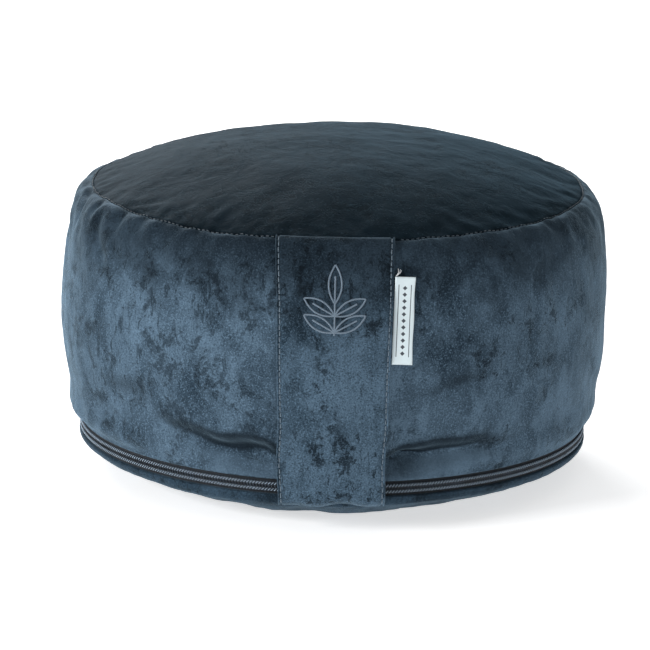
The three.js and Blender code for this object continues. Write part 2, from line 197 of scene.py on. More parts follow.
# ---- soft noise
def soft_noise(points, scale, seed):
    """Smooth random values from -1 to 1, with features about scale across."""
    table = np.random.default_rng(seed).uniform(-1, 1, (32, 32, 32))
    place = np.asarray(points) / scale + 100
    cell = np.floor(place).astype(int)
    part = place - cell
    part = part * part * (3 - 2 * part)
    total = 0
    for corner in np.ndindex(2, 2, 2):
        weight = np.prod(np.where(corner, part, 1 - part), axis=-1)
        index = tuple(((cell + corner) % 32)[..., i] for i in range(3))
        total = total + weight * table[index]
    return total


# ---- cloth simulation of the cover
SIM_COLUMNS = 160
SIM_STEP = 5.5 * MM
SIM_FRAMES = 20
EXTRA_CLOTH = 0.045
LARGEST_PUCKER = 3.5 * MM
SIM_CENTRE = 20 * MM
SIM_HELD = 30 * MM
CLOTH = {
    "quality": 5,
    "mass": 0.15,
    "tension_stiffness": 12,
    "compression_stiffness": 12,
    "shear_stiffness": 4,
    "bending_stiffness": 0.4,
    "use_pressure": True,
    "uniform_pressure_force": 4,
    "vertex_group_mass": "sewn",
    "vertex_group_shrink": "snug",
    "shrink_min": -EXTRA_CLOTH,
    "shrink_max": 0,
}


def simulated_puckers():
    """Swells a cover that has more cloth than its seams, and returns how far each point of a grid
    of outline length and angle moves out of the round form."""
    seams = np.array([SEAM_S, ZIP_UPPER_S, ZIP_LOWER_S])
    stretches = [SIM_CENTRE, SEAM_S, ZIP_UPPER_S, ZIP_LOWER_S, BASE_S]
    rows = np.concatenate([
        np.linspace(a, b, max(2, round((b - a) / SIM_STEP)), endpoint=False)
        for a, b in zip(stretches, stretches[1:])
    ] + [[BASE_S]])
    angles = np.arange(SIM_COLUMNS) * 2 * math.pi / SIM_COLUMNS
    radius, height, out, up = outline_at(rows)
    start = on_circle(angles[None, :], radius[:, None], height[:, None])
    start += (0.15 * MM) * soft_noise(start, 9 * MM, 3)[..., None]
    normal = on_circle(angles[None, :], out[:, None], up[:, None])

    cover = grid_object("cover_simulation", start, wrap=True)
    first, last = (list(range(start, start + SIM_COLUMNS)) for start in (0, (len(rows) - 1) * SIM_COLUMNS))
    data = bpy.data.meshes.new("cover_simulation_closed")
    faces = [list(p.vertices) for p in cover.data.polygons] + [first[::-1], last]
    data.from_pydata([v.co for v in cover.data.vertices], [], faces)
    cover.data = data

    near_seam = np.abs(rows[:, None] - seams).min(1)
    held = (near_seam < 0.1 * MM) | (rows > BASE_S - 1 * MM) | (rows < SIM_HELD)
    sewn = cover.vertex_groups.new(name="sewn")
    snug = cover.vertex_groups.new(name="snug")
    for row, is_held in enumerate(held):
        members = list(range(row * SIM_COLUMNS, (row + 1) * SIM_COLUMNS))
        sewn.add(members, 1.0 if is_held else 0.0, "REPLACE")
        snug.add(members, 1 - float(smooth_step(near_seam[row], 0, 8 * MM)), "REPLACE")

    cloth = cover.modifiers.new("Cloth", "CLOTH")
    for key, value in CLOTH.items():
        setattr(cloth.settings, key, value)
    cloth.settings.effector_weights.gravity = 0
    cloth.collision_settings.use_collision = False
    scene = bpy.context.scene
    for number in range(1, SIM_FRAMES + 1):
        scene.frame_set(number)
    shown = cover.evaluated_get(bpy.context.evaluated_depsgraph_get())
    moved = np.zeros(len(shown.data.vertices) * 3)
    shown.data.vertices.foreach_get("co", moved)
    moved = moved.reshape(start.shape)
    scene.frame_set(1)
    bpy.data.objects.remove(cover)

    push = ((moved - start) * normal).sum(-1)
    push -= push.mean(1, keepdims=True)
    push = LARGEST_PUCKER * np.tanh(push / LARGEST_PUCKER)
    return rows, push


def shown_mesh(name, mesh, work):
    """A smooth object of what a working mesh holds."""
    work.to_mesh(mesh)
    work.free()
    mesh.polygons.foreach_set("use_smooth", np.ones(len(mesh.polygons), bool))
    mesh.update()
    item = bpy.data.objects.new(name, mesh)
    bpy.context.scene.collection.objects.link(item)
    return item


def mesh_object(name, vertices, faces):
    """A smooth mesh object with its faces turned outwards."""
    mesh = bpy.data.meshes.new(name)
    mesh.from_pydata(np.asarray(vertices).tolist(), [], faces)
    turned = bmesh.new()
    turned.from_mesh(mesh)
    bmesh.ops.recalc_face_normals(turned, faces=turned.faces)
    return shown_mesh(name, mesh, turned)


def grid_faces(rows, columns, wrap=False, caps=(False, False), first=0):
    """The faces of a grid of points and, for each cap, a fan to one more point after the grid."""
    index = first + np.arange(rows * columns).reshape(rows, columns)
    beside = np.roll(index, -1, axis=1) if wrap else index[:, 1:]
    here = index if wrap else index[:, :-1]
    faces = np.stack([here[:-1], here[1:], beside[1:], beside[:-1]], -1).reshape(-1, 4).tolist()
    tip = first + rows * columns
    for capped, row in zip(caps, (0, -1)):
        if capped:
            faces += [[tip, int(a), int(b)] for a, b in zip(here[row], beside[row])]
            tip += 1
    return faces


def grid_object(name, points, wrap=False, caps=(False, False)):
    """A mesh object over a grid of points; wrap joins its last column to its first, and caps
    close its first and last rows, each in one point."""
    rows, columns = points.shape[:2]
    tips = [points[row].mean(0)[None] for capped, row in zip(caps, (0, -1)) if capped]
    vertices = np.concatenate([points.reshape(-1, 3), *tips])
    return mesh_object(name, vertices, grid_faces(rows, columns, wrap, caps))


PUCKER_ROWS, PUCKERS = simulated_puckers()


def cubic_weights(place):
    """The four whole numbers round each place, with their shares in a smooth curve through them."""
    base = np.floor(place).astype(int)
    t = place - base
    return [
        (base - 1, (-t + 2 * t**2 - t**3) / 2),
        (base, (2 - 5 * t**2 + 3 * t**3) / 2),
        (base + 1, (t + 4 * t**2 - 3 * t**3) / 2),
        (base + 2, (-(t**2) + t**3) / 2),
    ]


def puckers_at(angle, length):
    """The simulated puckers, read smoothly between the points of their grid."""
    row = np.interp(length, PUCKER_ROWS, np.arange(len(PUCKER_ROWS)))
    column = (angle / (2 * math.pi) * SIM_COLUMNS) % SIM_COLUMNS
    total = 0
    for i, share_i in cubic_weights(row):
        i = np.clip(i, 0, len(PUCKER_ROWS) - 1)
        for j, share_j in cubic_weights(column):
            total = total + share_i * share_j * PUCKERS[i, j % SIM_COLUMNS]
    return total


# ---- folds
# Each fold is a soft groove on the side: its middle (degrees from the front, height), its run
# along the side, its rise over that run, its width and its depth, in mm.
FOLDS = [
    (-17, 44.0, 68, -1.0, 9.0, 8.0),
    (-16, 33.5, 60, -1.0, 6.0, 9.0),
    (-31, 51.0, 50, -14.0, 7.5, 3.4),
    (-48, 66.0, 60, 12.0, 12.0, 2.2),
    (13, 36.0, 44, 3.0, 8.0, 9.0),
    (20, 42.0, 62, 10.0, 8.0, 6.0),
    (34, 44.0, 60, 5.0, 7.0, 3.0),
    (26, 84.0, 46, 8.0, 6.0, 1.6),
    (-62, 150.0, 26, -16.0, 7.0, 1.6),
    (-46, 158.0, 22, 9.0, 6.0, 1.2),
    (-84, 138.0, 30, -22.0, 8.0, 1.8),
    (52, 150.0, 30, 14.0, 8.0, 1.0),
    (78, 60.0, 44, -10.0, 8.0, 1.6),
    (120, 70.0, 60, 14.0, 9.0, 2.2),
    (160, 140.0, 50, -20.0, 9.0, 1.8),
    (205, 58.0, 90, 6.0, 12.0, 1.8),
    (250, 120.0, 40, 24.0, 9.0, 1.6),
]
FOLD_SHADE = 0.03  # how much painted shade darkens a fold's groove, for each millimetre of its depth


def folds_at(angle, height):
    """How far the folds push the side out, which is inwards but for their low rims."""
    total = 0
    for at, level, run, rise, width, depth in FOLDS:
        along = turn_from(angle, at) * BULGE_R / MM
        bend = 1.6 * np.sin(along / 9 + at) + 0.05 * at * (along / run) ** 2
        across = height / MM - level - rise * along / run - bend
        fade = np.exp(-((2 * along / run) ** 2))
        ratio = (across / width) ** 2
        total = total - depth * fade * (1 - 0.8 * ratio) * np.exp(-ratio)
    return total * MM


def gathered(angle, length):
    """The simulated puckers, strongest under the top seam on the left and faint on the top."""
    past_seam = length - SEAM_S
    on_left = 0.05 + 0.75 * np.exp(-(turn_from(angle, -70) / math.radians(45)) ** 2)
    below_seam = np.clip(0.3 + on_left * np.exp(-past_seam / (30 * MM)), 0, 1.2)
    on_top = 0.5 * np.exp(-np.abs(past_seam) / (34 * MM)) * smooth_step(length, 50 * MM, 100 * MM)
    return np.where(past_seam < 0, on_top, below_seam) * puckers_at(angle, length)


def beside_strap(points):
    """The hollow that the tight strap presses into the side along its right edge."""
    height = points[..., 2]
    across = (points[..., 0] - STRAP_EDGE - 6 * MM) / (9 * MM)
    between = smooth_step(height, 26 * MM, 44 * MM) * smooth_step(-height, -165 * MM, -140 * MM)
    return -3.4 * MM * np.exp(-across**2) * (points[..., 1] < 0) * between


def relief(angle, length):
    """How far the cover stands out from its round outline."""
    radius, height, _, _ = outline_at(length)
    points = on_circle(angle, radius, height)
    from_zip = np.minimum(np.abs(length - ZIP_UPPER_S), np.abs(length - ZIP_LOWER_S))
    in_band = (length > ZIP_UPPER_S) & (length < ZIP_LOWER_S)
    on_floor = TOTAL_S - BASE_S
    free = smooth_step(from_zip, 0, 10 * MM) * ~in_band
    free = free * smooth_step(TOTAL_S - length, on_floor - 2 * MM, on_floor + 20 * MM)
    on_side = smooth_step(length, SEAM_S, SEAM_S + 6 * MM)

    lumps = 1.5 * soft_noise(points, 70 * MM, 11) + 0.8 * soft_noise(points, 32 * MM, 12)
    crush = 0.28 * soft_noise(points, 11 * MM, 13) + 0.12 * soft_noise(points, 5 * MM, 14)
    near_seam = 0.75 * np.exp(-np.abs(length - SEAM_S) / (7 * MM))
    crush = crush + near_seam * soft_noise(points, 4.5 * MM, 15)
    placed = on_side * (folds_at(angle, height) + beside_strap(points))
    push = free * ((lumps + crush) * MM + gathered(angle, length) + placed)

    under_strap = smooth_step(STRAP_EDGE + 4 * MM - np.abs(points[..., 0]), 0, 5 * MM)
    under_strap = under_strap * on_side * (points[..., 1] < 0) * smooth_step(height, 28 * MM, 60 * MM)
    return push + under_strap * (np.minimum(0.25 * push, 0) - 0.4 * MM - push)


def skin_points(rows, depths, columns=COLUMNS, drop=0.0):
    """A grid of points on the cover at lengths along the outline and depths under its surface,
    and the painted light and shade that their slope and the folds give them; behind the zip's ends the last
    edge reaches further by drop."""
    angles = np.arange(columns) * 2 * math.pi / columns
    turn = np.minimum(angles, 2 * math.pi - angles)
    behind = smooth_step(turn, ZIP_END - ZIP_END_TURN, ZIP_END + ZIP_END_TURN)
    reach = smooth_step(rows, rows[-1] - 40 * MM, rows[-1] - 4 * MM)
    lengths = rows[:, None] + drop * behind * reach[:, None]
    radius, height, out, up = outline_at(lengths)
    push = relief(np.broadcast_to(angles, lengths.shape), lengths) - depths[:, None]
    wider = swell(angles, height) * smooth_step(radius, 60 * MM, 140 * MM)
    # Painted light and shade: lighter where the cover faces up, darker where it faces down and along the
    # grooves of the folds.
    lean = painted_slope_shading(push + depths[:, None], rows) + FOLD_SHADE * folds_at(angles, height) / MM
    return on_circle(angles, radius + wider + push * out, height + push * up), lean


def painted_slope_shading(push, rows):
    """How much each point faces up, above 0.5, or down, below it; the velvet paints faces turned up lighter
    and faces turned down darker, as painted light and shade.
    """
    slope = np.zeros_like(push)
    middle = (rows[2:] - rows[:-2])[:, None]
    slope[1:-1] = (push[2:] - push[:-2]) / np.maximum(middle, 0.5 * MM)
    for _ in range(3):
        slope = (np.roll(slope, 1, 1) + 2 * slope + np.roll(slope, -1, 1)) / 4
        slope[1:-1] = (slope[:-2] + 2 * slope[1:-1] + slope[2:]) / 4
    return np.clip(0.5 + 1.1 * slope, 0, 1)


# ---- rows of a sewn panel
TUCK = 2.0 * MM
ROW_STEP = 2.4 * MM


def edge_roll(edge, inwards, radius):
    """Lengths and depths of a cloth edge that rolls under at a seam, from the flat cloth inwards;
    inwards is +1 where the cloth reaches its edge with growing length, and -1 where it leaves it."""
    turns = np.linspace(0, math.pi / 2, 7)
    lengths = edge - inwards * radius * (1 - np.sin(turns))
    depths = radius * (1 - np.cos(turns))
    lengths = np.append(lengths, [edge, edge])
    depths = np.append(depths, radius + TUCK * np.array([0.4, 1.0]))
    return lengths, depths


def panel_rows(start, end, roll_start=0.0, roll_end=0.0):
    """Rows of a panel from one length to another, closer together beside rolled edges."""
    low = start + roll_start
    high = end - roll_end
    count = max(4, round((high - low) / ROW_STEP))
    share = np.linspace(0, 1, count)
    middle = low + (high - low) * (share - 0.08 * np.sin(4 * math.pi * share) / (2 * math.pi))
    lengths, depths = middle, np.zeros(count)
    if roll_start:
        roll, sink = edge_roll(start, -1, roll_start)
        lengths = np.concatenate([roll[::-1][:-1], lengths])
        depths = np.concatenate([sink[::-1][:-1], depths])
    if roll_end:
        roll, sink = edge_roll(end, 1, roll_end)
        lengths = np.concatenate([lengths, roll[1:]])
        depths = np.concatenate([depths, sink[1:]])
    return lengths, depths


# ---- materials
class Shader:
    """A material's node tree with short calls for the nodes used here."""

    def __init__(self, name, roughness=0.8, metallic=0.0):
        self.material = bpy.data.materials.new(name)
        self.material.use_nodes = True
        self.tree = self.material.node_tree
        self.surface = self.tree.nodes["Principled BSDF"]
        self.surface.inputs["Roughness"].default_value = roughness
        self.surface.inputs["Metallic"].default_value = metallic
        self.place = self.node("ShaderNodeTexCoord").outputs["Object"]

    def node(self, kind, **values):
        made = self.tree.nodes.new(kind)
        for key, value in values.items():
            setattr(made, key, value)
        return made

    def link(self, source, target):
        self.tree.links.new(source, target)

    def put(self, value, socket):
        """Links a node's output to a socket, or sets the socket to a plain value."""
        if isinstance(value, bpy.types.NodeSocket):
            self.link(value, socket)
        else:
            socket.default_value = value

    def bands(self, scale, direction, twist=0.0):
        """Fine even ribs, scale of them to a third of a metre."""
        made = self.node("ShaderNodeTexWave", wave_type="BANDS", bands_direction=direction)
        made.inputs["Scale"].default_value = scale
        made.inputs["Distortion"].default_value = twist
        self.link(self.place, made.inputs["Vector"])
        return made.outputs["Fac"]

    def scaled(self, factors, turn=(0, 0, 0)):
        mapping = self.node("ShaderNodeMapping")
        mapping.inputs["Scale"].default_value = factors
        mapping.inputs["Rotation"].default_value = turn
        self.link(self.place, mapping.inputs["Vector"])
        return mapping.outputs["Vector"]

    def noise(self, size, detail=3.0, rough=0.55, twist=0.0, place=None):
        """Noise whose largest features are about size metres across."""
        made = self.node("ShaderNodeTexNoise")
        made.inputs["Scale"].default_value = 1 / size
        made.inputs["Detail"].default_value = detail
        made.inputs["Roughness"].default_value = rough
        made.inputs["Distortion"].default_value = twist
        self.link(place or self.place, made.inputs["Vector"])
        return made.outputs["Fac"]

    def spread(self, value, low, high, to_low=0.0, to_high=1.0):
        """Maps low..high to to_low..to_high, smoothly and with both ends held."""
        made = self.node("ShaderNodeMapRange", interpolation_type="SMOOTHSTEP")
        self.link(value, made.inputs["Value"])
        for key, number in (("From Min", low), ("From Max", high), ("To Min", to_low), ("To Max", to_high)):
            made.inputs[key].default_value = number
        return made.outputs["Result"]

    def mix(self, share, first, second):
        """The first colour turning into the second as share goes from 0 to 1."""
        made = self.node("ShaderNodeMix", data_type="RGBA")
        sockets = {s.identifier: s for s in made.inputs}
        for key, value in (("Factor_Float", share), ("A_Color", first), ("B_Color", second)):
            self.put(value, sockets[key])
        return next(s for s in made.outputs if s.identifier == "Result_Color")

    def math(self, operation, *values):
        made = self.node("ShaderNodeMath", operation=operation)
        for socket, value in zip(made.inputs, values):
            self.put(value, socket)
        return made.outputs["Value"]

    def times(self, first, second):
        return self.math("MULTIPLY", first, second)

    def plus(self, first, second):
        return self.math("ADD", first, second)

    def color(self, value):
        self.set("Base Color", value)

    def set(self, name, value):
        self.put(value, self.surface.inputs[name])

    def bump(self, height, depth, strength=1.0, under=None):
        made = self.node("ShaderNodeBump")
        made.inputs["Distance"].default_value = depth
        made.inputs["Strength"].default_value = strength
        self.link(height, made.inputs["Height"])
        if under is not None:
            self.link(under, made.inputs["Normal"])
        self.link(made.outputs["Normal"], self.surface.inputs["Normal"])
        return made.outputs["Normal"]


def rgb(red, green, blue):
    """A colour given as the 0 to 255 values it is seen with."""
    seen = [c / 255 for c in (red, green, blue)]
    return tuple(((c + 0.055) / 1.055)**2.4 if c > 0.04 else c / 12.92 for c in seen) + (1,)


COOL_SHEEN = (0.42, 0.62, 0.78, 1)
GLINT = 1.65  # how much brighter than the lightest tone the painted glints on the pile are


def velvet(name, dark, mid, light, sheen, contrast=1.0, shade=None, tint=COOL_SHEEN):
    """Crushed velvet: soft drifts of pile that lie differently, sharp-edged crushed patches with streaks and
    specks, and fine grain, with painted glints and painted light and shade by the slope of the cover. shade
    is a height where painted shade starts and one where it is full."""
    s = Shader(name, roughness=0.75)
    axes = s.node("ShaderNodeSeparateXYZ")
    s.link(s.place, axes.inputs[0])
    upright = s.scaled((1, 1, 0.6))
    drift = s.spread(s.noise(60 * MM, 3, 0.5, 0.4, upright), 0.32, 0.68)
    patch = s.spread(s.noise(17 * MM, 6, 0.68, 0.5, upright), 0.41, 0.59)
    lay = s.plus(s.times(drift, 0.55), s.times(patch, 0.45))
    tone = s.mix(s.times(lay, contrast), mid, light)

    crushed = s.spread(s.noise(14 * MM, 8, 0.78, 0.25), 0.545, 0.572)
    streak_place = s.scaled((1, 1, 0.3), (0.15, 0.1, 0.3))
    streak = s.spread(s.noise(5 * MM, 5, 0.7, 0.3, streak_place), 0.57, 0.61)
    leftwards = s.times(axes.outputs["X"], -0.55)
    where = s.spread(s.plus(s.noise(44 * MM, 2, 0.5, 0.2), leftwards), 0.4, 0.54)
    marks = s.times(s.math("MAXIMUM", s.times(crushed, 0.75), s.times(streak, 0.7)), where)
    tone = s.mix(s.times(marks, 0.8 * contrast), tone, dark)

    grain = s.noise(1.0 * MM, 2, 0.8)
    # Painted highlight: glints brighter than the lightest tone, scattered by the fine grain, fewer on the
    # crushed marks.
    glint = tuple(min(GLINT * part, 1) for part in light[:3]) + (1,)
    painted_glints = s.times(s.spread(grain, 0.52, 0.68, 0.0, 0.55 * contrast), s.spread(marks, 0.0, 1.0, 1.0, 0.3))
    tone = s.mix(painted_glints, tone, glint)
    tone = s.mix(s.spread(grain, 0.33, 0.48, 0.5 * contrast, 0.0), tone, dark)
    # Painted shade: darker higher up, from the first shade height to the second, with a ragged edge.
    if shade:
        uneven = s.times(s.math("SUBTRACT", s.noise(28 * MM, 5, 0.66), 0.5), 0.09)
        level = s.plus(axes.outputs["Z"], uneven)
        tone = s.mix(s.spread(level, *shade, 0.0, 0.75), tone, dark)
    # Painted shade where the cover faces down or lies in a fold's groove, painted light where it faces up.
    lean = s.node("ShaderNodeAttribute", attribute_name="lean").outputs["Fac"]
    tone = s.mix(s.spread(lean, 0.12, 0.5, 0.85, 0.0), tone, dark)
    tone = s.mix(s.spread(lean, 0.5, 0.95, 0.0, 0.6), tone, light)
    s.color(tone)
    s.set("Specular IOR Level", 0.03)
    s.set("Sheen Weight", sheen)
    s.set("Sheen Roughness", 0.38)
    s.set("Sheen Tint", tint)
    pile = s.bump(s.math("SUBTRACT", lay, s.times(marks, 0.8)), 0.8 * MM, 0.5)
    s.bump(grain, 0.25 * MM, 0.6, pile)
    return s.material


def twill_tape(name, dark, light):
    """Woven tape with fine slanted ribs."""
    s = Shader(name, roughness=0.85)
    rib = s.bands(700, "DIAGONAL")
    s.color(s.mix(s.times(rib, 0.6), dark, light))
    s.set("Sheen Weight", 0.2)
    s.bump(rib, 0.12 * MM, 0.6)
    return s.material


def nylon(name, tone, bright):
    """Smooth dyed nylon, a little uneven."""
    s = Shader(name, roughness=0.42)
    s.color(s.mix(s.spread(s.noise(6 * MM), 0.35, 0.7), tone, bright))
    s.set("Specular IOR Level", 0.55)
    s.bump(s.noise(0.4 * MM), 0.03 * MM, 0.4)
    return s.material


def enamel(name, tone, worn):
    """Dark enamel over metal, rubbed paler in places."""
    s = Shader(name, roughness=0.34, metallic=0.55)
    s.color(s.mix(s.spread(s.noise(2.5 * MM, 4, 0.7), 0.5, 0.78), tone, worn))
    s.set("Roughness", s.spread(s.noise(1.6 * MM, 3), 0.3, 0.7, 0.26, 0.46))
    s.set("Coat Weight", 0.35)
    s.bump(s.noise(0.5 * MM), 0.02 * MM, 0.4)
    return s.material


def thread(name, tone, bright):
    """Twisted thread: fine diagonal plies and a soft gleam."""
    s = Shader(name, roughness=0.5)
    ply = s.bands(900, "DIAGONAL", 0.6)
    s.color(s.mix(ply, tone, bright))
    s.set("Sheen Weight", 0.4)
    s.set("Sheen Tint", (0.75, 0.85, 0.95, 1))
    s.bump(ply, 0.08 * MM, 0.5)
    return s.material


DIAMOND_PITCH = 3.8 * MM
DIAMOND_HALF = 1.35 * MM
DIAMOND_ROW = 20.8 * MM
RULE_OFF = 3.6 * MM


def satin_label(name, along, across, centre):
    """White satin with a woven row of small plain diamonds down its middle, between two rules."""
    s = Shader(name, roughness=0.38)

    def measured(direction):
        dot = s.node("ShaderNodeVectorMath", operation="DOT_PRODUCT")
        dot.inputs[1].default_value = direction
        s.link(s.place, dot.inputs[0])
        return s.math("SUBTRACT", dot.outputs["Value"], centre.dot(direction))

    up = measured(along)
    off = s.math("ABSOLUTE", measured(across))
    beat = s.math("PINGPONG", up, DIAMOND_PITCH / 2)
    diamond = s.spread(s.plus(off, beat), DIAMOND_HALF * 0.86, DIAMOND_HALF * 1.1, 1.0, 0.0)
    within = s.spread(s.math("ABSOLUTE", up), DIAMOND_ROW, DIAMOND_ROW + 0.3 * MM, 1.0, 0.0)
    from_rule = s.math("ABSOLUTE", s.math("SUBTRACT", off, RULE_OFF))
    rule = s.spread(from_rule, 0.16 * MM, 0.3 * MM, 1.0, 0.0)
    ink = s.times(s.math("MAXIMUM", diamond, rule), within)
    s.color(s.mix(ink, (0.6, 0.7, 0.74, 1), (0.02, 0.03, 0.045, 1)))
    s.set("Sheen Weight", 0.35)
    s.set("Anisotropic", 0.5)
    s.bump(s.bands(650, "Z"), 0.05 * MM, 0.45)
    return s.material


def cotton(name):
    """Unbleached cotton with a plain weave and a slub."""
    s = Shader(name, roughness=0.9)
    slub = s.noise(14 * MM, 4, 0.6, 0.3, s.scaled((1, 1, 6)))
    s.color(s.mix(s.spread(slub, 0.3, 0.7), (0.55, 0.5, 0.41, 1), (0.72, 0.68, 0.6, 1)))
    s.bump(s.plus(s.bands(500, "Z"), slub), 0.12 * MM, 0.6)
    return s.material


def hull_look(name):
    """A bed of dark hulls, as cells that are darker at their edges."""
    s = Shader(name, roughness=0.6)
    cells = s.node("ShaderNodeTexVoronoi", feature="F1")
    cells.inputs["Scale"].default_value = 1 / (4 * MM)
    s.link(s.place, cells.inputs["Vector"])
    s.color(s.mix(cells.outputs["Distance"], (0.11, 0.07, 0.04, 1), (0.02, 0.013, 0.01, 1)))
    s.bump(cells.outputs["Distance"], 1.2 * MM, 1.0)
    return s.material


def floor_look(name):
    """A white floor, lit a little from itself as a studio sweep is."""
    s = Shader(name, roughness=0.7)
    s.color(s.mix(s.spread(s.noise(0.4, 2), 0.3, 0.7), (0.93, 0.93, 0.93, 1), (0.95, 0.95, 0.95, 1)))
    s.set("Specular IOR Level", 0.2)
    s.set("Emission Color", (1, 1, 1, 1))
    s.set("Emission Strength", 0.6)
    return s.material


# ---- finishing a piece
def finished(item, material, slot, body="cushion"):
    """Gives a piece its material, and the body it rides on when one is given. slot is not used."""
    item.data.materials.append(material)
    if body:
        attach(item, body)
    return item


def panel(name, span, look, roll_start=0.0, roll_end=0.0, caps=(False, False), drop=0.0):
    """A panel of the cover between two lengths along the outline."""
    rows, depths = panel_rows(*span, roll_start, roll_end)
    points, lean = skin_points(rows, depths, COLUMNS, drop)
    item = grid_object(name, points, wrap=True, caps=caps)
    store_painted_shading(item, lean)
    return finished(item, *look)


def store_painted_shading(item, lean):
    """Keeps each point's painted light and shade, for the velvet to read."""
    values = np.full(len(item.data.vertices), 0.5)
    values[:lean.size] = lean.ravel()
    item.data.attributes.new("lean", "FLOAT", "POINT").data.foreach_set("value", values)


# The top is the same velvet as the side; its darker colours are painted shade, as little light falls on the
# top.
velvet_top = velvet("velvet_top", rgb(4, 9, 12), rgb(10, 19, 25), rgb(19, 33, 42), 0.18, 0.6,
                    tint=(0.29, 0.54, 0.74, 1))
# The side's shade heights paint shade under the top seam.
velvet_side = velvet("velvet_side", rgb(10, 18, 25), rgb(36, 50, 62), rgb(84, 105, 123), 0.42,
                     shade=(114 * MM, 168 * MM))
velvet_base = velvet("velvet_base", rgb(12, 20, 26), rgb(30, 43, 54), rgb(52, 70, 85), 0.25)
# The strap's shade heights paint shade on its upper part.
velvet_strap = velvet("velvet_strap", rgb(9, 16, 22), rgb(34, 49, 61), rgb(74, 94, 111), 0.34, 1.25,
                      shade=(98 * MM, 158 * MM))
tape_look = twill_tape("zip_tape", rgb(10, 17, 24), rgb(26, 38, 50))
coil_look = nylon("zip_nylon", rgb(18, 27, 37), rgb(36, 50, 64))
metal_look = enamel("zip_metal", rgb(28, 40, 54), rgb(96, 108, 120))
cotton_look = cotton("bag_cotton")
hulls_look = hull_look("hulls")

# ---- cover panels
CENTRE_HOLE = 4 * MM
TOP_ROLL = 1.3 * MM
ZIP_ROLL = 0.9 * MM
SEAM_GAP = 0.1 * MM

top = panel("top_panel", (CENTRE_HOLE, SEAM_S - SEAM_GAP), (velvet_top, "velvet_top"),
            roll_end=TOP_ROLL, caps=(True, False))
side = panel("side_panel", (SEAM_S + SEAM_GAP, ZIP_UPPER_S), (velvet_side, "velvet_side"),
             roll_start=TOP_ROLL, roll_end=ZIP_ROLL, drop=ZIP_LOWER_S - ZIP_UPPER_S - SEAM_GAP)
base = panel("bottom_panel", (ZIP_LOWER_S, TOTAL_S - CENTRE_HOLE), (velvet_base, "velvet_base"),
             roll_start=ZIP_ROLL, caps=(False, True))
for item, node in ((top, "cover_top_panel"), (side, "cover_side_panel"), (base, "cover_bottom_panel")):
    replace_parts(item, node)

# ---- bag and filling
BAG_DEPTH = 4.4 * MM
FILL_DEPTH = 5.4 * MM
LAYER_STEP = 4 * MM
LAYER_COLUMNS = 240
LAYER_HOLE = 2 * MM
ZIP_S = (ZIP_UPPER_S + ZIP_LOWER_S) / 2


def inner_layer(name, node, start, end, depth, look, caps=(False, False)):
    """A layer inside the cover, at a depth under its surface."""
    rows = np.linspace(start, end, max(8, round((end - start) / LAYER_STEP)))
    points, _ = skin_points(rows, np.full(len(rows), depth), LAYER_COLUMNS)
    item = finished(grid_object(name, points, wrap=True, caps=caps), *look)
    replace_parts(item, node)


bag_look = (cotton_look, "bag_cotton")
fill_look = (hulls_look, "hulls")
first, last = LAYER_HOLE, TOTAL_S - LAYER_HOLE
inner_layer("inner_bag_top_visual", "inner_bag_top", first, SEAM_S, BAG_DEPTH, bag_look, (True, False))
inner_layer("inner_bag_side_visual", "inner_bag_side", SEAM_S, ZIP_S, BAG_DEPTH, bag_look)
inner_layer("inner_bag_bottom_visual", "inner_bag_bottom", ZIP_S, last, BAG_DEPTH, bag_look, (False, True))
inner_layer("buckwheat_filling", "hull_fill", first, last, FILL_DEPTH, fill_look, (True, True))

# ---- zip
TAPE_R = (151.1 * MM, 151.7 * MM)
TAPE_EDGES = (0.15 * MM, 8.5 * MM)
TAPE_STEPS = 361
COIL_R = 152.85 * MM
COIL_OFF = 1.45 * MM
COIL_HALF = 1.38 * MM
COIL_RISE = 0.5 * MM
WIRE = 0.28 * MM
COIL_PITCH = math.radians(0.7)
COIL_END = math.radians(107.6)
COIL_TURNS = int(2 * COIL_END / COIL_PITCH)
COIL_STEPS = 12
COIL_STITCH = (0.27 * MM, 0.24 * MM)


def zip_tape(name, side_sign):
    """One woven tape of the zip, above or below the coils' middle."""
    low, high = (side_sign * h for h in TAPE_EDGES)
    angles = np.linspace(-ZIP_END, ZIP_END, TAPE_STEPS)
    corners = [(TAPE_R[1], low), (TAPE_R[1], high), (TAPE_R[0], high), (TAPE_R[0], low)]
    section = [on_circle(angles, r, ZIP_Z + z) for r, z in corners]
    item = grid_object(name, np.stack(section, 1), wrap=True, caps=(True, True))
    item.data.polygons.foreach_set("use_smooth", np.zeros(len(item.data.polygons), bool))
    return finished(item, tape_look, "zip_tape")


def tube_points(path, radius, sides=6):
    """Rings of points round a path; radius is a pair, across and outward."""
    path = np.asarray(path)
    along = np.gradient(path, axis=0)
    along /= np.linalg.norm(along, axis=1)[:, None]
    outward = path * (1, 1, 0)
    outward /= np.linalg.norm(outward, axis=1)[:, None]
    across = np.cross(along, outward)
    across /= np.maximum(np.linalg.norm(across, axis=1)[:, None], 1e-9)
    outward = np.cross(across, along)
    wide, tall = radius
    turns = np.arange(sides) * 2 * math.pi / sides
    ring_across = across[:, None] * (wide * np.cos(turns))[:, None]
    return path[:, None] + ring_across + outward[:, None] * (tall * np.sin(turns))[:, None]


def many_tubes(name, tubes):
    """One mesh of several tubes, each a grid of ring points, closed at both ends."""
    vertices, faces = [], []
    for rings in tubes:
        rows, columns = rings.shape[:2]
        faces += grid_faces(rows, columns, True, (True, True), len(vertices))
        vertices += rings.reshape(-1, 3).tolist() + [rings[0].mean(0).tolist(), rings[-1].mean(0).tolist()]
    return mesh_object(name, vertices, faces)


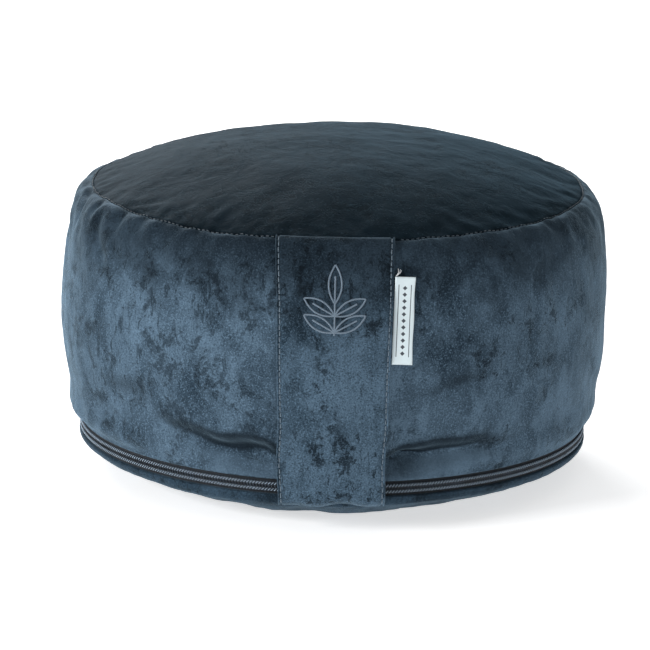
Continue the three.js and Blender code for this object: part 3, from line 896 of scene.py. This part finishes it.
def coil(name, side_sign):
    """A wire wound along the zip, whose turns stand half a turn off the other coil's."""
    turn = np.arange(COIL_TURNS * COIL_STEPS + 1) / COIL_STEPS + (0.5 if side_sign > 0 else 0)
    angle = -COIL_END + COIL_PITCH * (turn + 0.12 * np.sin(4 * math.pi * turn))
    across = side_sign * (COIL_OFF - COIL_HALF * np.cos(2 * math.pi * turn))
    radius = COIL_R + COIL_RISE * np.sin(2 * math.pi * turn)
    rings = tube_points(on_circle(angle, radius, ZIP_Z + across), (WIRE, WIRE), 5)
    return finished(grid_object(name, rings, wrap=True, caps=(True, True)), coil_look, "zip_nylon")


def coil_stitching(name, side_sign):
    """A row of short slanted threads over a coil, one to each turn."""
    tubes = []
    share = np.linspace(-1, 1, 6)
    bow = np.cos(share * math.pi / 2) ** 0.6
    for number in range(COIL_TURNS):
        angle = -COIL_END + COIL_PITCH * (number + 0.3)
        path = on_circle(
            angle + side_sign * COIL_PITCH * 0.42 * share,
            COIL_R + COIL_RISE + (0.02 + 0.22 * bow) * MM,
            ZIP_Z + side_sign * (1.8 + 0.72 * share) * MM,
        )
        tubes.append(tube_points(path, COIL_STITCH))
    return finished(many_tubes(name, tubes), zip_thread_look, "thread")


zip_thread_look = thread("zip_thread", rgb(92, 114, 134), rgb(164, 182, 198))
strap_thread_look = thread("strap_thread", rgb(50, 66, 80), rgb(122, 142, 158))
seam_thread_look = thread("seam_thread", rgb(26, 37, 47), rgb(72, 90, 104))
motif_look = thread("motif_thread", rgb(62, 80, 97), rgb(120, 138, 154))
label_thread_look = thread("label_thread", rgb(196, 200, 204), rgb(240, 242, 244))
for level, sign in (("upper", 1), ("lower", -1)):
    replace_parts(zip_tape(f"woven_tape_{level}", sign), f"zip_tape_{level}")
    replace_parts(coil(f"coil_teeth_{level}", sign), f"zip_coil_{level}")
    coil_stitching(f"coil_stitching_{level}", sign)


def bent_block(name, at, half_length, heights, radii, round_by):
    """A block with rounded edges that follows the zip's curve."""
    mesh = bpy.data.meshes.new(name)
    work = bmesh.new()
    bmesh.ops.create_cube(work, size=1)
    middle = (sum(heights) / 2, sum(radii) / 2)
    spans = (2 * half_length, heights[1] - heights[0], radii[1] - radii[0])
    for v in work.verts:
        v.co = Vector((v.co.x * spans[0], v.co.y * spans[1], v.co.z * spans[2]))
    bmesh.ops.bevel(work, geom=work.edges, offset=round_by, segments=4, profile=0.6, affect="EDGES")
    for v in work.verts:
        v.co = Vector(on_circle(at + v.co.x / ZIP_R, middle[1] + v.co.z, ZIP_Z + middle[0] + v.co.y))
    bmesh.ops.recalc_face_normals(work, faces=work.faces)
    return finished(shown_mesh(name, mesh, work), metal_look, "zip_metal")


STOP_R = (151.9 * MM, 154.1 * MM)
STOP_HALF = 1.2 * MM
STOP_ROUND = 0.5 * MM
for node, heights in (
    ("zip_bottom_stop", (-3.0, 3.0)),
    ("zip_top_stop_upper", (0.2, 3.0)),
    ("zip_top_stop_lower", (-3.0, -0.2)),
):
    middle = sum(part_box(node), Vector()) / 2
    at = math.atan2(middle.x, -middle.y)
    spans = tuple(h * MM for h in heights)
    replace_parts(bent_block(node + "_pressed", at, STOP_HALF, spans, STOP_R, STOP_ROUND), node)

# ---- zip slider and pull
SLIDER_AT = math.radians(-105.83)
SLIDER_HALF = 6 * MM
SLIDER_WIDE = 4.4 * MM
SLIDER_WALL = 1.05 * MM
SLIDER_R = (152.0 * MM, 154.0 * MM, 155.1 * MM)
PIN_R = 156.13 * MM
BAIL_FOOT_R = 154.6 * MM
BAIL_REACH = 3.0 * MM
BAIL_STEPS = 21
PULL_LENGTH = 22 * MM
PULL_HALF = 3.5 * MM
PULL_THICK = 0.5 * MM
PULL_STEPS = 72
PULL_BACK = 0.9 * MM
PULL_WINDOW = (2.9 * MM, 2.3 * MM, 1.75 * MM)
GRIP_START = 9.5 * MM
GRIP_END = 19.5 * MM
RIDGE_PITCH = 1.9 * MM
RIDGE_HEIGHT = 0.16 * MM


def slider_section(share):
    """The slider's cross-section at a share along it: a low plate with a wall down each side, as
    offsets across and radii."""
    narrow = 1 - 0.1 * smooth_step(share, -0.2, 1)
    end = max(0.0, 1 - abs(share) ** 6) ** 0.5
    wide = SLIDER_WIDE * narrow * (0.72 + 0.28 * end)
    inner = wide - SLIDER_WALL
    low, under, crown = SLIDER_R
    top_edge = under + (crown - under) * (0.25 + 0.4 * end)
    top_middle = under + (crown - under) * (0.45 + 0.55 * end)
    half = [(0, top_middle), (0.55 * wide, top_middle), (0.86 * wide, (top_middle + top_edge) / 2),
            (wide, top_edge), (wide, low + 0.3 * MM), (wide - 0.3 * MM, low), (inner, low), (inner, under)]
    return half + [(-w, r) for w, r in half[::-1][:-1]]


def zip_slider():
    """The slider's body and the arched bail that its pull hangs on."""
    shares = np.sin(np.linspace(-1, 1, 25) * math.pi / 2)
    sections = []
    for share in shares:
        across, radius = np.array(slider_section(share)).T
        sections.append(on_circle(SLIDER_AT + share * SLIDER_HALF / ZIP_R, radius, ZIP_Z + across))
    tubes = [np.array(sections)]
    turns = np.linspace(0, math.pi, BAIL_STEPS)
    arch = on_circle(
        SLIDER_AT + BAIL_REACH * np.cos(turns) / ZIP_R,
        BAIL_FOOT_R + BAIL_REACH * np.sin(turns) ** 0.7,
        np.full(BAIL_STEPS, ZIP_Z),
    )
    tubes.append(tube_points(arch, (1.0 * MM, 0.48 * MM), 10))
    return finished(many_tubes("slider_body", tubes), metal_look, "zip_metal", "zip_runner")


def rounded_loop(centre, run, wide):
    """A loop between a rectangle and an ellipse, as lengths along the pull and across it."""
    turns = np.arange(PULL_STEPS) * 2 * math.pi / PULL_STEPS
    u, v = (np.sign(wave) * np.abs(wave) ** 0.5 for wave in (np.cos(turns), np.sin(turns)))
    return centre + run * u, wide * v


def zip_pull():
    """A flat tab with a rounded end and a window where it hangs on the slider's bail."""
    outer_u, outer_v = rounded_loop(PULL_LENGTH / 2 - 0.6 * MM, PULL_LENGTH / 2, PULL_HALF)
    outer_v = outer_v * (0.8 + 0.2 * smooth_step(outer_u, 0, 9 * MM))
    hole_u, hole_v = rounded_loop(*PULL_WINDOW)
    shares = np.linspace(0, 1, 13)
    rings = []
    for sign, order in ((1, shares), (-1, shares[::-1])):
        for share in order:
            u = hole_u + (outer_u - hole_u) * share
            v = hole_v + (outer_v - hole_v) * share
            edge = min(share, 1 - share) * 12
            lift = PULL_THICK * (1 - 0.45 * max(0, 1 - edge) ** 2)
            on_grip = smooth_step(u, GRIP_START, GRIP_START + 1 * MM)
            on_grip = on_grip * smooth_step(-u, -GRIP_END, 1 * MM - GRIP_END) * (0.15 < share < 0.8)
            ridge = RIDGE_HEIGHT * np.cos(2 * math.pi * u / RIDGE_PITCH) * on_grip
            rings.append(np.stack([u - PULL_BACK, v, sign * (lift + ridge)], -1))
    grid = np.stack(rings, 1)
    count, columns = grid.shape[:2]
    along = (math.cos(SLIDER_AT), math.sin(SLIDER_AT), 0)
    outward = (math.sin(SLIDER_AT), -math.cos(SLIDER_AT), 0)
    points = on_circle(SLIDER_AT, PIN_R, ZIP_Z) + grid @ np.array([along, (0, 0, 1), outward])
    faces = np.array(grid_faces(count + 1, columns, wrap=True)) % (count * columns)
    item = mesh_object("pull_tab", points.reshape(-1, 3), faces.tolist())
    return finished(item, metal_look, "zip_metal", "zip_puller")


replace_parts(zip_slider(), "zip_slider")
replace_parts(zip_pull(), "zip_pull")

# ---- strap
STRAP_TOP_HALF = 34.5 * MM
STRAP_FOOT_HALF = 31 * MM
STRAP_THICK = 2.3 * MM
STRAP_FOOT_Z = 18.5 * MM
STRAP_TURN_Z = 23.5 * MM
STRAP_HANG_R = 165.3 * MM
STRAP_TURN_IN = 4.5 * MM
STITCH_IN = 1.7 * MM
CUT_Z = 95 * MM
STRAP_ROWS = 150
STRAP_INSETS = (0.15, 0.4, 0.7, 1.1, 1.4, 1.7, 2.0, 2.3, 2.7, 3.4, 4.6, 6, 8, 11, 15, 20, 26)  # mm


def strap_profile():
    """The strap's inner face as radius, height and outward normal, from inside the top seam down
    the shoulder and past the zip to where it turns in."""
    shoulder = np.linspace(SEAM_S + 3.2 * MM, length_at(BULGE_Z), 30)
    radius, height, _, _ = outline_at(shoulder)
    start = [(SEAM_R - 0.8 * MM, SEAM_Z - 1.8 * MM), (SEAM_R - 0.2 * MM, SEAM_Z + 0.7 * MM)]
    hang = np.linspace(BULGE_Z, STRAP_TURN_Z + 3 * MM, 26)[1:]
    foot = [
        (STRAP_HANG_R - STRAP_TURN_IN * (1 - math.cos(t)), STRAP_TURN_Z + 3 * MM - 6 * MM * math.sin(t))
        for t in np.linspace(0, math.pi / 2, 10)[1:]
    ]
    foot += [(156.5 * MM, STRAP_FOOT_Z - 0.4 * MM), (154.9 * MM, STRAP_FOOT_Z + 0.2 * MM)]
    path = np.array(start + list(zip(radius, height)) + [(STRAP_HANG_R, z) for z in hang] + foot)
    lengths = np.concatenate([[0], np.cumsum(np.linalg.norm(np.diff(path, axis=0), axis=1))])
    even = np.linspace(0, lengths[-1], STRAP_ROWS)
    path = np.stack([np.interp(even, lengths, path[:, i]) for i in (0, 1)], 1)
    for _ in range(3):
        path[1:-1] = (path[:-2] + 2 * path[1:-1] + path[2:]) / 4
    step = np.gradient(path, axis=0)
    step /= np.linalg.norm(step, axis=1)[:, None]
    return path, np.stack([-step[:, 1], step[:, 0]], 1)


STRAP_PATH, STRAP_NORMAL = strap_profile()
STRAP_ROW = float(np.linalg.norm(STRAP_PATH[61] - STRAP_PATH[60]))
STRAP_SHIFT = 0.5 * MM * soft_noise(np.arange(STRAP_ROWS)[:, None] * (1.1 * MM, 0, 0), 22 * MM, 24)


def strap_half(height):
    """Half of the strap's width at a height."""
    share = (height - STRAP_FOOT_Z) / (SEAM_Z - STRAP_FOOT_Z)
    return STRAP_FOOT_HALF + (STRAP_TOP_HALF - STRAP_FOOT_HALF) * share


def strap_wave(x, height):
    """How far the strap bows out of its even lie; it lies close at the top seam and at the foot."""
    free = smooth_step(height, STRAP_TURN_Z - 2 * MM, 60 * MM) * smooth_step(-height, -150 * MM, -95 * MM)
    place = np.stack([x, np.zeros_like(x), height], -1)
    slow = 1.3 + 1.0 * soft_noise(place, 45 * MM, 21) + 0.35 * soft_noise(place, 18 * MM, 22)
    return free * np.maximum(slow, 0.1) * MM + 0.12 * MM * soft_noise(place, 8 * MM, 23)


def on_strap(x, row, out):
    """Points on the strap at x, a row of its profile (may be between rows) and a height over its
    inner face."""
    x, row, out = np.broadcast_arrays(x, row, out)
    rows = np.arange(STRAP_ROWS)
    radius, height = (np.interp(row, rows, STRAP_PATH[:, i]) for i in (0, 1))
    face, rise = (np.interp(row, rows, STRAP_NORMAL[:, i]) for i in (0, 1))
    reach = out + strap_wave(x, height)
    around = radius + reach * face
    ripple = 1.1 * np.sin(x / (8.5 * MM) + 0.8) + 0.7 * np.sin(x / (4.1 * MM))
    ripple = ripple * MM * smooth_step(-height, -38 * MM, -22 * MM)
    return np.stack([x, -np.sqrt(around**2 - x**2), height + reach * rise + ripple], -1)


def row_at(height):
    """The row of the strap's profile at a height, between where it turns in at its ends."""
    rows = np.arange(3, STRAP_ROWS - 4)
    return np.interp(-height, -STRAP_PATH[rows, 1], rows)


def strap_face(inset, half):
    """Height of the strap's outer face over its inner one, at a distance in from its edge."""
    groove = np.exp(-(((inset - STITCH_IN) / (0.7 * MM)) ** 2))
    edge = 0.25 * MM * np.exp(-(((inset - 0.6 * MM) / (0.5 * MM)) ** 2))
    crown = 0.35 * MM * smooth_step(inset, 4 * MM, half)
    return STRAP_THICK + edge + crown - 0.75 * MM * groove


def strap_grid():
    """The strap's cross-sections, each round its outer face, its edges and its inner face."""
    rows = np.arange(STRAP_ROWS)
    half = strap_half(STRAP_PATH[:, 1])
    near = np.array(STRAP_INSETS) * MM
    signs = np.concatenate([-np.ones(len(near)), [0], np.ones(len(near))])
    sections = []
    for row, wide, shift in zip(rows, half, STRAP_SHIFT):
        insets = np.concatenate([near, [wide], near[::-1]])
        x = signs * (wide - insets) + shift
        face = strap_face(insets, wide)
        face[[0, -1]] *= 0.82
        outer = on_strap(x, row, face)
        edge_x = np.array([wide + 0.05 * MM, wide + 0.05 * MM, wide - 0.15 * MM])
        edge_out = np.array([0.62, 0.3, 0.08]) * STRAP_THICK
        right = on_strap(edge_x + shift, row, edge_out)
        left = on_strap(-edge_x[::-1] + shift, row, edge_out[::-1])
        inner = on_strap(np.linspace(0.96, -0.96, 15) * wide + shift, row, 0.0)
        sections.append(np.concatenate([outer, right, inner, left]))
    return np.array(sections)


def split_piece(name, part):
    """One half of the strap's length, closed at both ends, with the whole strap's smooth normals
    so that no line shows where the halves meet."""
    item = grid_object(name, STRAP_GRID[part], wrap=True, caps=(True, True))
    normals = np.concatenate([STRAP_NORMALS[part].reshape(-1, 3), [(0, 0, 1), (0, 0, -1)]])
    item.data.normals_split_custom_set_from_vertices(normals.tolist())
    store_painted_shading(item, np.array([0.5]))
    finished(item, velvet_strap, "velvet_strap", None)
    hold(item)
    return item


def hold(item):
    """Bakes a piece's place into its mesh."""
    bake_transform(item)


def whole_normals(grid):
    """The smooth normals that the whole strap has at its points."""
    whole = grid_object("whole_strap", grid, wrap=True, caps=(True, True))
    count = grid.shape[0] * grid.shape[1]
    normals = np.zeros(len(whole.data.vertices) * 3)
    whole.data.vertex_normals.foreach_get("vector", normals)
    bpy.data.objects.remove(whole)
    return normals.reshape(-1, 3)[:count].reshape(grid.shape)


STRAP_GRID = strap_grid()
STRAP_NORMALS = whole_normals(STRAP_GRID)
CUT_ROW = round(float(row_at(CUT_Z)))
for name, part, at_top in (
    ("strap_upper", slice(None, CUT_ROW + 1), True),
    ("strap_lower", slice(CUT_ROW, None), False),
):
    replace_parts(split_piece(name, part), "handle_strap")

# ---- strap stitching
STITCH_PITCH = 3.4 * MM
STITCH_LENGTH = 2.5 * MM
STITCH_SIZE = (0.32 * MM, 0.24 * MM)


def seam_stitches(name, sign, at_top):
    """A line of separate stitches down one edge of the strap."""
    first, last = (4, CUT_ROW) if at_top else (CUT_ROW, STRAP_ROWS - 9)
    rows = np.arange(first, last, STITCH_PITCH / STRAP_ROW)
    tubes = []
    for number, row in enumerate(rows):
        share = np.linspace(0, 1, 6)
        here = row + share * STITCH_LENGTH / STRAP_ROW
        half = strap_half(np.interp(here, np.arange(STRAP_ROWS), STRAP_PATH[:, 1]))
        bow = np.sin(math.pi * share) ** 0.6
        skew = 0.12 * MM * math.sin(number * 2.4)
        x = sign * (half - STITCH_IN) + np.interp(here, np.arange(STRAP_ROWS), STRAP_SHIFT) + skew
        path = on_strap(x, here, STRAP_THICK - 0.62 * MM + 0.42 * MM * bow)
        tubes.append(tube_points(path, STITCH_SIZE))
    item = finished(many_tubes(name, tubes), strap_thread_look, "thread", None)
    hold(item)
    return item


for word, sign in (("left", -1), ("right", 1)):
    for level, at_top in (("upper", True), ("lower", False)):
        stitches = seam_stitches(f"strap_stitches_{word}_{level}", sign, at_top)
        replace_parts(stitches, f"handle_stitching_{word}")

# ---- top seam
SEAM_STITCHES = 290
STITCH_POINTS = 8
SEAM_STITCH = (0.24 * MM, 0.2 * MM)
seam_rows = SEAM_S + np.array([-0.5, 0, 0.5]) * MM
seam_line = skin_points(seam_rows, np.full(3, -0.12 * MM), SEAM_STITCHES * STITCH_POINTS)[0][1]
seam_tubes = []
for first in range(0, len(seam_line), STITCH_POINTS):
    path = seam_line[first:first + 5]
    if path[0][1] > 0 or abs(path[2][0]) > STRAP_EDGE + 2 * MM:
        seam_tubes.append(tube_points(path, SEAM_STITCH))
finished(many_tubes("top_seam_stitches", seam_tubes), seam_thread_look, "thread")

# ---- embroidery
LEAF_LENGTH = 21 * MM
LEAF_WIDTH = 7.6 * MM
LEAF_TURN = math.radians(62)
SATIN_STITCH = 0.75 * MM


def raised_line(points):
    """An embroidered line over the strap's face: a flat cord of close slanted stitches."""
    points = np.asarray(points)
    lengths = np.concatenate([[0], np.cumsum(np.linalg.norm(np.diff(points, axis=0), axis=1))])
    count = max(8, int(lengths[-1] / (SATIN_STITCH / 4)))
    even = np.linspace(0, lengths[-1], count)
    x, z = (np.interp(even, lengths, points[:, i]) for i in (0, 1))
    inset = strap_half(z) - np.abs(x)
    path = on_strap(x, row_at(z), strap_face(inset, STRAP_TOP_HALF) + 0.12 * MM)
    rings = tube_points(path, (0.5 * MM, 0.38 * MM), 8)
    ripple = 1 + 0.16 * np.sin(2 * math.pi * even / SATIN_STITCH)
    return path[:, None] + (rings - path[:, None]) * ripple[:, None, None]


def leaf_lines(foot, turn, share):
    """The outline and the midrib of a leaf standing on a point, turned from upright."""
    t = np.linspace(0, 1, 25)
    wide = share * LEAF_WIDTH * 2 * t * (1 - t)
    tall = share * LEAF_LENGTH * t
    c, s = math.cos(turn), math.sin(turn)
    lines = [(wide, tall), (-wide, tall), (wide * 0, tall * 0.72)]
    return [np.stack([u * c + v * s, foot + v * c - u * s], 1) for u, v in lines]


def embroidery():
    """A sprig with one upright leaf and two pairs of side leaves."""
    stem_top = MOTIF_TOP - LEAF_LENGTH
    lines = [np.array([(0, MOTIF_FOOT), (0, stem_top)])]
    lines += leaf_lines(stem_top, 0, 1)
    for rise in (0.1, 0.62):
        foot = MOTIF_FOOT + (stem_top - MOTIF_FOOT) * rise
        for sign in (-1, 1):
            lines += leaf_lines(foot, sign * LEAF_TURN, 0.96)
    item = many_tubes("leaf_embroidery", [raised_line(line) for line in lines])
    finished(item, motif_look, "thread", None)
    hold(item)
    return item


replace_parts(embroidery(), "handle_embroidery")

# ---- label
LABEL_WIDE = 11.4 * MM
LABEL_TALL = 51 * MM
LABEL_CLOTH = 0.2 * MM
THREAD_END = (0.13 * MM, 0.13 * MM)

hinge = next(j for j in frame["record"]["behaviour"]["joints"] if j["name"] == "label_flap")
label_foot = Vector(hinge["pos_m"])
label_up = -Vector(hinge["axis"]).normalized()
label_over = label_up.cross(Vector((label_foot.x, label_foot.y, 0))).normalized()
label_out = label_over.cross(label_up)
if label_out.y > 0:
    label_out.negate()


def label():
    """A strip of satin folded double, sewn in along its left edge and puffed at its fold."""
    down = np.linspace(0, 1, 41)
    over = np.linspace(0, 1, 12)
    turn = np.linspace(math.pi / 2, -math.pi / 2, 7)[1:-1]
    u = np.concatenate([over, 1 + 0.03 * np.cos(turn), over[::-1]])
    side_of = np.concatenate([np.ones(12), np.sin(turn), -np.ones(12)])
    rings = []
    for share in down:
        puff = 0.16 + 0.4 * smooth_step(u, 0.4, 0.95) * (0.6 + 0.4 * math.sin(9 * share + 1))
        wave = 0.55 * np.sin(6.5 * share + 0.6) * u**2 + 0.35 * np.sin(2.2 * share) * u
        edge = 0.22 * math.sin(11 * share + 2)
        across = -0.15 * MM + u * (LABEL_WIDE + edge * MM)
        middle = np.stack([across, (side_of * puff + wave + 0.3 * u) * MM], 1)
        step = np.gradient(middle, axis=0)
        step /= np.linalg.norm(step, axis=1)[:, None]
        normal = np.stack([-step[:, 1], step[:, 0]], 1) * LABEL_CLOTH / 2
        section = np.concatenate([middle + normal, (middle - normal)[::-1]])
        rings.append(np.array(label_foot) + share * LABEL_TALL * np.array(label_up)
                     + np.outer(section[:, 0], np.array(label_over))
                     + np.outer(section[:, 1], np.array(label_out)))
    return grid_object("folded_label", np.array(rings), wrap=True, caps=(True, True))


woven_label = finished(label(), satin_label("label_satin", label_up, label_over,
                       label_foot + label_up * LABEL_TALL / 2 + label_over * LABEL_WIDE / 2),
                       "label_satin", "label")
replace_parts(woven_label, "side_label")


def loose_threads():
    """White thread ends at the top of the label's seam."""
    tubes = []
    random = np.random.default_rng(5)
    foot = np.array(label_foot + label_up * (LABEL_TALL + 0.4 * MM))
    for _ in range(5):
        lean = random.uniform(-1, 1, 3)
        share = np.linspace(0, 1, 9)[:, None]
        reach = np.array(label_over) * (0.6 + 0.5 * lean[0]) + np.array(label_up) * (0.9 + 0.5 * lean[1])
        curl = np.array(label_out) * (0.4 + 0.5 * np.sin(share * 3 + lean[2]))
        curl = curl + np.array(label_over) * 0.5 * np.sin(share * 4)
        tubes.append(tube_points(foot + (reach * share * 3.2 + curl) * MM, THREAD_END, 5))
    return finished(many_tubes("label_thread_ends", tubes), label_thread_look, "thread", "label")


loose_threads()

# ---- camera
ELEVATION = math.radians(14.45)
ROLL = math.radians(1.177)
DISTANCE = 3.151
LOOK_AT = Vector((0, 0, 90 * MM))
SLIDE = (-5.55 * MM, -5.4 * MM)

camera_data = bpy.data.cameras.new("camera")
camera_data.lens = 287.1
camera_data.sensor_width = 36
camera_data.clip_end = 30
camera = bpy.data.objects.new("camera", camera_data)
bpy.context.scene.collection.objects.link(camera)
turned = Matrix.Rotation(math.pi / 2 - ELEVATION, 4, "X") @ Matrix.Rotation(ROLL, 4, "Z")
away = Vector((0, -math.cos(ELEVATION), math.sin(ELEVATION))) * DISTANCE
camera.matrix_world = Matrix.Translation(LOOK_AT + away) @ turned @ Matrix.Translation((*SLIDE, 0))
bpy.context.scene.camera = camera

# ---- floor and light
SKY_LIGHT = 0.27
SKY_SEEN = 1.0

floor = mesh_object("floor", [(-4, -4, 0), (4, -4, 0), (4, 4, 0), (-4, 4, 0)], [[0, 1, 2, 3]])
floor.location.z = -0.4 * MM
floor.data.materials.append(floor_look("pale_floor"))

world = bpy.data.worlds.new("studio")
bpy.context.scene.world = world
world.use_nodes = True
sky = world.node_tree
lit = sky.nodes["Background"]
seen = sky.nodes.new("ShaderNodeBackground")
for backdrop, strength in ((lit, SKY_LIGHT), (seen, SKY_SEEN)):
    backdrop.inputs["Strength"].default_value = strength
    backdrop.inputs["Color"].default_value = (1, 1, 1, 1)
choice = sky.nodes.new("ShaderNodeMixShader")
ray = sky.nodes.new("ShaderNodeLightPath")
sky.links.new(ray.outputs["Is Camera Ray"], choice.inputs["Fac"])
sky.links.new(lit.outputs["Background"], choice.inputs[1])
sky.links.new(seen.outputs["Background"], choice.inputs[2])
sky.links.new(choice.outputs["Shader"], sky.nodes["World Output"].inputs["Surface"])


def soft_light(name, place, size, power):
    """A round soft light that faces the cushion."""
    lamp = bpy.data.lights.new(name, "AREA")
    lamp.shape = "DISK"
    lamp.size = size
    lamp.energy = power
    item = bpy.data.objects.new(name, lamp)
    item.location = place
    item.rotation_euler = (LOOK_AT - Vector(place)).to_track_quat("-Z", "Y").to_euler()
    bpy.context.scene.collection.objects.link(item)


soft_light("key", (-2.75, -1.7, 1.35), 1.1, 80)
soft_light("fill", (0.9, -3.0, 0.8), 1.4, 11)
soft_light("back", (-0.9, 2.3, 1.2), 1.5, 64)
soft_light("above", (0.2, 0.3, 3.4), 2.4, 9)

bpy.context.scene.view_settings.view_transform = "Standard"
